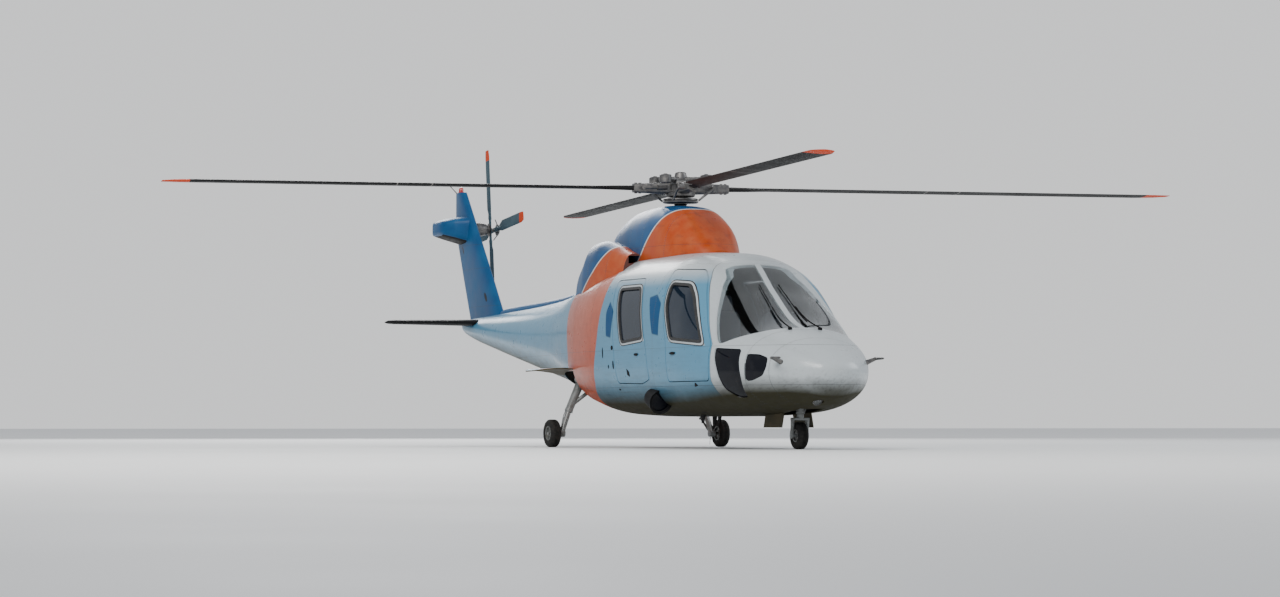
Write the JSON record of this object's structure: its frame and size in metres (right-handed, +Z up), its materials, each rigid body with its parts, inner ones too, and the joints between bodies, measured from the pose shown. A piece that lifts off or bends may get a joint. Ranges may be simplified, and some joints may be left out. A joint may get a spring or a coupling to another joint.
{
  "type": "medium twin-engine helicopter",
  "caption": "Parked cabin helicopter: hollow cabin with hinged doors, main and tail rotors that turn, and a tricycle landing gear with a steering nose wheel.",
  "frame": {"origin": "on the ground at the middle of the outline, rotors included", "axes": "+Z up, nose towards -Y, port side towards +X"},
  "size_m": [13.2362, 15.9106, 4.4575],
  "materials": {
    "skin_white": "gloss white paint with a pale blue cast",
    "belly": "off-white paint, oily and dusty",
    "orange_paint": "gloss orange paint",
    "blue_paint": "gloss royal blue paint",
    "black_paint": "satin black paint",
    "clear_glass": "clear",
    "dark_glass": "dark tint",
    "red_lens": "clear red lens",
    "lamp": "reflector behind a lens",
    "dark_steel": "oiled dark steel",
    "gear_metal": "light grey enamel, worn",
    "wheel_metal": "painted cast wheel",
    "tyre": "worn rubber",
    "tail_blade": "grey paint",
    "primer": "olive brown primer",
    "seat": "woven cover",
    "trim": "matte"
  },
  "bodies": {
    "airframe": {"nose_cone": "skin_white", "landing_light": "lamp", "belly_shell": "belly", "cabin_frame": "skin_white", "cabin_roof": "skin_white", "cabin_floor": "trim", "rear_bulkhead": "trim", "chin_pane_fore_port": "dark_glass", "chin_pane_fore_starboard": "dark_glass", "chin_pane_aft_port": "dark_glass", "chin_pane_aft_starboard": "dark_glass", "windscreen_port": "clear_glass", "windscreen_starboard": "clear_glass", "aft_body": "skin_white", "tail_boom": "skin_white", "stabiliser": "black_paint", "fin": "blue_paint", "fin_beacon": "red_lens", "pylon_fairing": "orange_paint", "engine_cowl_port": "blue_paint", "engine_cowl_starboard": "blue_paint", "engine_port": "dark_steel", "engine_starboard": "dark_steel", "nose_leg": "gear_metal", "nose_gear_door_port": "skin_white", "nose_gear_door_starboard": "skin_white", "main_leg_port": "gear_metal", "main_leg_starboard": "gear_metal", "main_gear_door_port": "primer", "main_gear_door_starboard": "primer", "pitot_port": "dark_steel", "pitot_starboard": "dark_steel", "searchlight": "black_paint", "pilot_seat_port": "seat", "pilot_seat_starboard": "seat", "cabin_bench": "seat", "instrument_panel": "trim"},
    "main_rotor": {"rotor_head": "dark_steel", "main_blade_aft": "black_paint", "main_blade_port": "black_paint", "main_blade_forward": "black_paint", "main_blade_starboard": "black_paint"},
    "tail_rotor": {"tail_hub": "dark_steel", "tail_blades_upright": "tail_blade", "tail_blades_level": "tail_blade"},
    "nose_steering": {"nose_fork": "gear_metal"},
    "nose_wheel": {"tyre_nose": "tyre", "rim_nose": "wheel_metal"},
    "main_wheel_port": {"tyre_port": "tyre", "rim_port": "wheel_metal"},
    "main_wheel_starboard": {"tyre_starboard": "tyre", "rim_starboard": "wheel_metal"},
    "cockpit_door_port": {"cockpit_door_port": "skin_white", "cockpit_door_pane_port": "dark_glass"},
    "cockpit_door_starboard": {"cockpit_door_starboard": "skin_white", "cockpit_door_pane_starboard": "dark_glass"},
    "cabin_door_port": {"cabin_door_port": "skin_white", "cabin_door_pane_port": "dark_glass"},
    "cabin_door_starboard": {"cabin_door_starboard": "skin_white", "cabin_door_pane_starboard": "dark_glass"}
  },
  "joints": [
    {"name": "main_rotor_turn", "type": "hinge", "parent": "airframe", "child": "main_rotor", "pos_m": [0, -1.33721, 3.36], "axis": [0, 0, 1], "continuous": true},
    {"name": "tail_rotor_turn", "type": "hinge", "parent": "airframe", "child": "tail_rotor", "pos_m": [0.43, 6.73779, 3.24], "axis": [1, 0, 0], "continuous": true},
    {"name": "nose_steer", "type": "hinge", "parent": "airframe", "child": "nose_steering", "pos_m": [0, -4.92721, 0.4], "axis": [0, 0, 1], "range_deg": [-50, 50]},
    {"name": "nose_wheel_roll", "type": "hinge", "parent": "nose_steering", "child": "nose_wheel", "pos_m": [0, -4.89721, 0.16359], "axis": [1, 0, 0], "continuous": true},
    {"name": "main_wheel_roll_port", "type": "hinge", "parent": "airframe", "child": "main_wheel_port", "pos_m": [1.22, 0.10279, 0.18243], "axis": [1, 0, 0], "continuous": true},
    {"name": "main_wheel_roll_starboard", "type": "hinge", "parent": "airframe", "child": "main_wheel_starboard", "pos_m": [-1.22, 0.10279, 0.18243], "axis": [1, 0, 0], "continuous": true},
    {"name": "cockpit_door_swing_port", "type": "hinge", "parent": "airframe", "child": "cockpit_door_port", "pos_m": [0.985, -4.4, 1], "axis": [0, 0, -1], "range_deg": [0, 75]},
    {"name": "cockpit_door_swing_starboard", "type": "hinge", "parent": "airframe", "child": "cockpit_door_starboard", "pos_m": [-0.985, -4.4, 1], "axis": [0, 0, 1], "range_deg": [0, 75]},
    {"name": "cabin_door_swing_port", "type": "hinge", "parent": "airframe", "child": "cabin_door_port", "pos_m": [1.072, -2.76, 1], "axis": [0, 0, -1], "range_deg": [0, 85]},
    {"name": "cabin_door_swing_starboard", "type": "hinge", "parent": "airframe", "child": "cabin_door_starboard", "pos_m": [-1.072, -2.76, 1], "axis": [0, 0, 1], "range_deg": [0, 85]}
  ]
}
